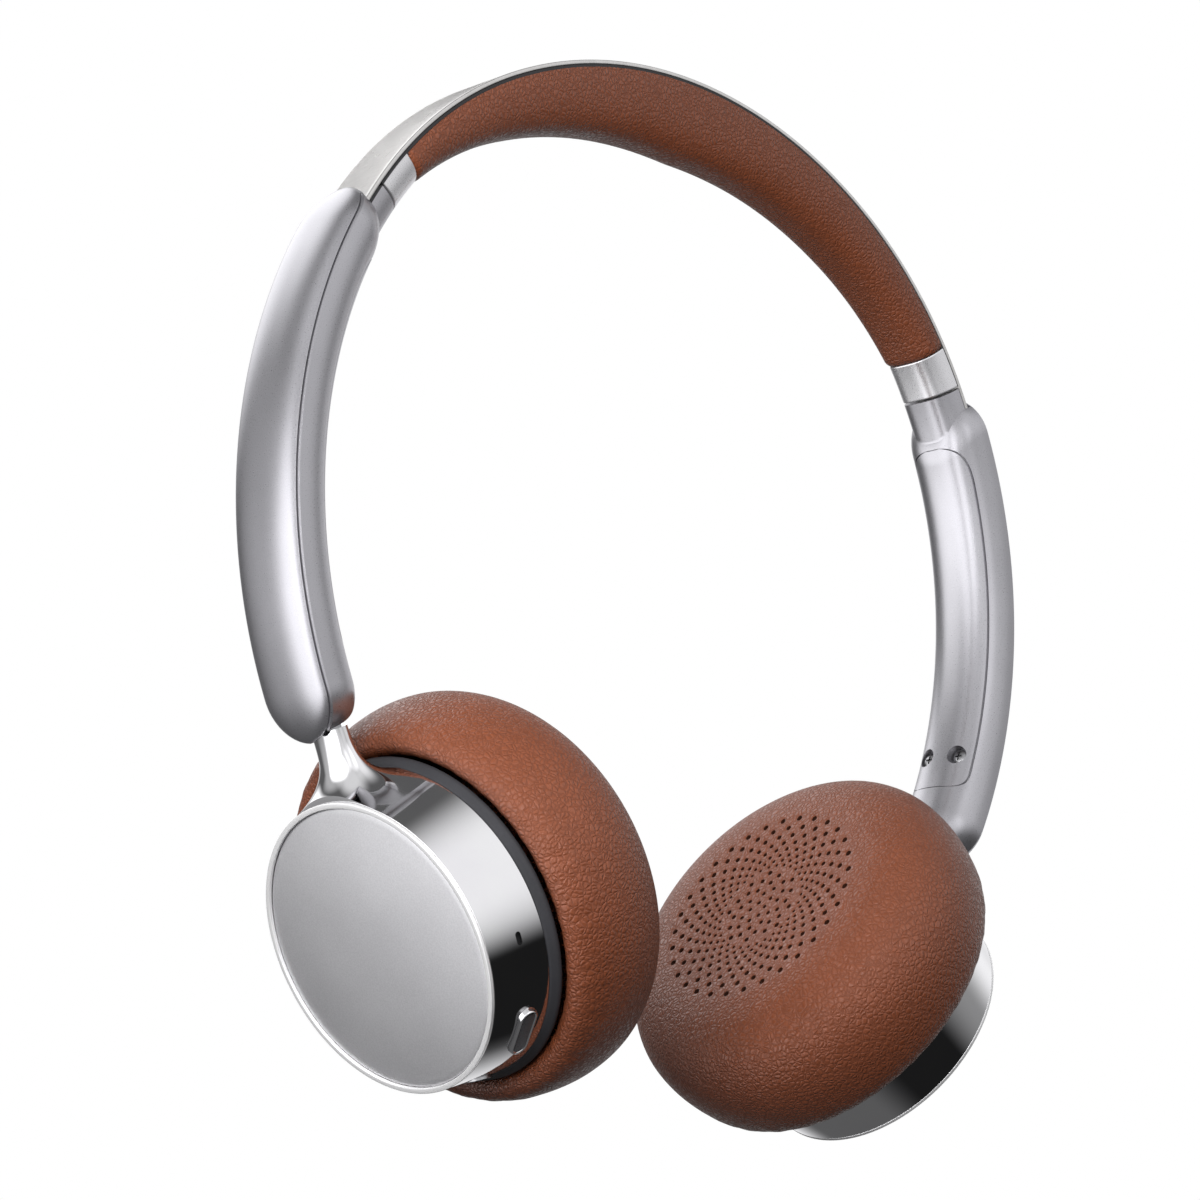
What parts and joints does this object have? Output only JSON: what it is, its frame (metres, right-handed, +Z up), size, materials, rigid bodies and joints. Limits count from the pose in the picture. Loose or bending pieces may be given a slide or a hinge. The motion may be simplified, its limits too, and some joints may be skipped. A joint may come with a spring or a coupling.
{
  "type": "on-ear headphones",
  "caption": "Wireless on-ear headphones: sprung steel band with leather cushion, long sliding arms, round chrome cups that tilt and swivel, leather ear pads.",
  "frame": {"origin": "middle of the headband cushion's underside, where the head carries it", "axes": "+Z up, +X to the wearer's left, -Y to the front"},
  "size_m": [0.1658, 0.063, 0.1704],
  "materials": {
    "brushed_steel": "brushed stainless steel",
    "black_plastic": "matt black moulded plastic",
    "leather": "brown grained leather over foam",
    "satin_silver": "satin silver metallic lacquer",
    "chrome": "mirror chrome plating",
    "polished_rim": "polished bright rim",
    "plate_silver": "bead-blasted satin aluminium",
    "dark_plastic": "dark grey satin plastic",
    "hinge_steel": "zinc-plated steel",
    "spring_steel": "spring steel",
    "magnet": "nickel-plated magnet pot",
    "membrane": "thin plastic film",
    "circuit_board": "green solder mask",
    "battery_foil": "laminated pouch foil"
  },
  "bodies": {
    "headband": {"steel_band": "brushed_steel", "headband_frame": "black_plastic", "headband_cushion": "leather", "end_cap_left": "satin_silver", "end_cap_right": "satin_silver", "band_stop_left": "black_plastic", "band_stop_right": "black_plastic"},
    "arm_left": {"arm_body_left": "satin_silver", "arm_outer_cover_left": "satin_silver", "arm_inner_cover_left": "satin_silver", "arm_screw_front_left": "hinge_steel", "arm_screw_rear_left": "hinge_steel", "detent_spring_left": "spring_steel", "hinge_pin_left": "hinge_steel"},
    "knuckle_left": {"hinge_knuckle_left": "hinge_steel", "swivel_retainer_left": "spring_steel"},
    "cup_left": {"cup_housing_left": "chrome", "trim_ring_left": "polished_rim", "cup_plate_left": "plate_silver", "seal_ring_left": "dark_plastic", "baffle_left": "black_plastic", "driver_frame_left": "black_plastic", "driver_magnet_left": "magnet", "diaphragm_left": "membrane", "ear_pad_left": "leather", "battery": "battery_foil"},
    "arm_right": {"arm_body_right": "satin_silver", "arm_outer_cover_right": "satin_silver", "arm_inner_cover_right": "satin_silver", "arm_screw_front_right": "hinge_steel", "arm_screw_rear_right": "hinge_steel", "detent_spring_right": "spring_steel", "hinge_pin_right": "hinge_steel"},
    "knuckle_right": {"hinge_knuckle_right": "hinge_steel", "swivel_retainer_right": "spring_steel"},
    "cup_right": {"cup_housing_right": "chrome", "trim_ring_right": "polished_rim", "cup_plate_right": "plate_silver", "seal_ring_right": "dark_plastic", "baffle_right": "black_plastic", "driver_frame_right": "black_plastic", "driver_magnet_right": "magnet", "diaphragm_right": "membrane", "ear_pad_right": "leather", "circuit_board": "circuit_board", "usb_port": "dark_plastic", "microphone": "black_plastic"},
    "mode_button": {"mode_button": "chrome"},
    "volume_up_button": {"volume_up_button": "chrome"},
    "power_button": {"power_button": "chrome"},
    "volume_down_button": {"volume_down_button": "chrome"}
  },
  "joints": [
    {"name": "slider_left", "type": "hinge", "parent": "headband", "child": "arm_left", "pos_m": [-0.00239, 0, -0.0669], "axis": [0, 1, 0], "range_deg": [0, 15]},
    {"name": "tilt_left", "type": "hinge", "parent": "arm_left", "child": "knuckle_left", "pos_m": [0.07106, 0, -0.09884], "axis": [0, -1, 0], "range_deg": [-7, 7]},
    {"name": "swivel_left", "type": "hinge", "parent": "knuckle_left", "child": "cup_left", "pos_m": [0.0511, 0, -0.135], "axis": [0.4833, 0, 0.8755], "range_deg": [-5, 90]},
    {"name": "slider_right", "type": "hinge", "parent": "headband", "child": "arm_right", "pos_m": [0.00239, 0, -0.0669], "axis": [0, -1, 0], "range_deg": [0, 15]},
    {"name": "tilt_right", "type": "hinge", "parent": "arm_right", "child": "knuckle_right", "pos_m": [-0.07106, 0, -0.09884], "axis": [0, 1, 0], "range_deg": [-7, 7]},
    {"name": "swivel_right", "type": "hinge", "parent": "knuckle_right", "child": "cup_right", "pos_m": [-0.0511, 0, -0.135], "axis": [0.4833, 0, -0.8755], "range_deg": [-5, 90]},
    {"name": "mode_button_press", "type": "slide", "parent": "cup_right", "child": "mode_button", "axis": [-0.1586, 0.7119, 0.6841], "range_m": [0, 0.0004], "stiffness_N_per_m": 1500, "springref_m": -0.0004},
    {"name": "volume_up_button_press", "type": "slide", "parent": "cup_right", "child": "volume_up_button", "axis": [-0.0693, -0.85, 0.5223], "range_m": [0, 0.0004], "stiffness_N_per_m": 1500, "springref_m": -0.0004},
    {"name": "power_button_press", "type": "slide", "parent": "cup_right", "child": "power_button", "axis": [-0.1901, -0.6439, 0.7411], "range_m": [0, 0.0004], "stiffness_N_per_m": 1500, "springref_m": -0.0004},
    {"name": "volume_down_button_press", "type": "slide", "parent": "cup_right", "child": "volume_down_button", "axis": [-0.2719, -0.3677, 0.8893], "range_m": [0, 0.0004], "stiffness_N_per_m": 1500, "springref_m": -0.0004}
  ]
}
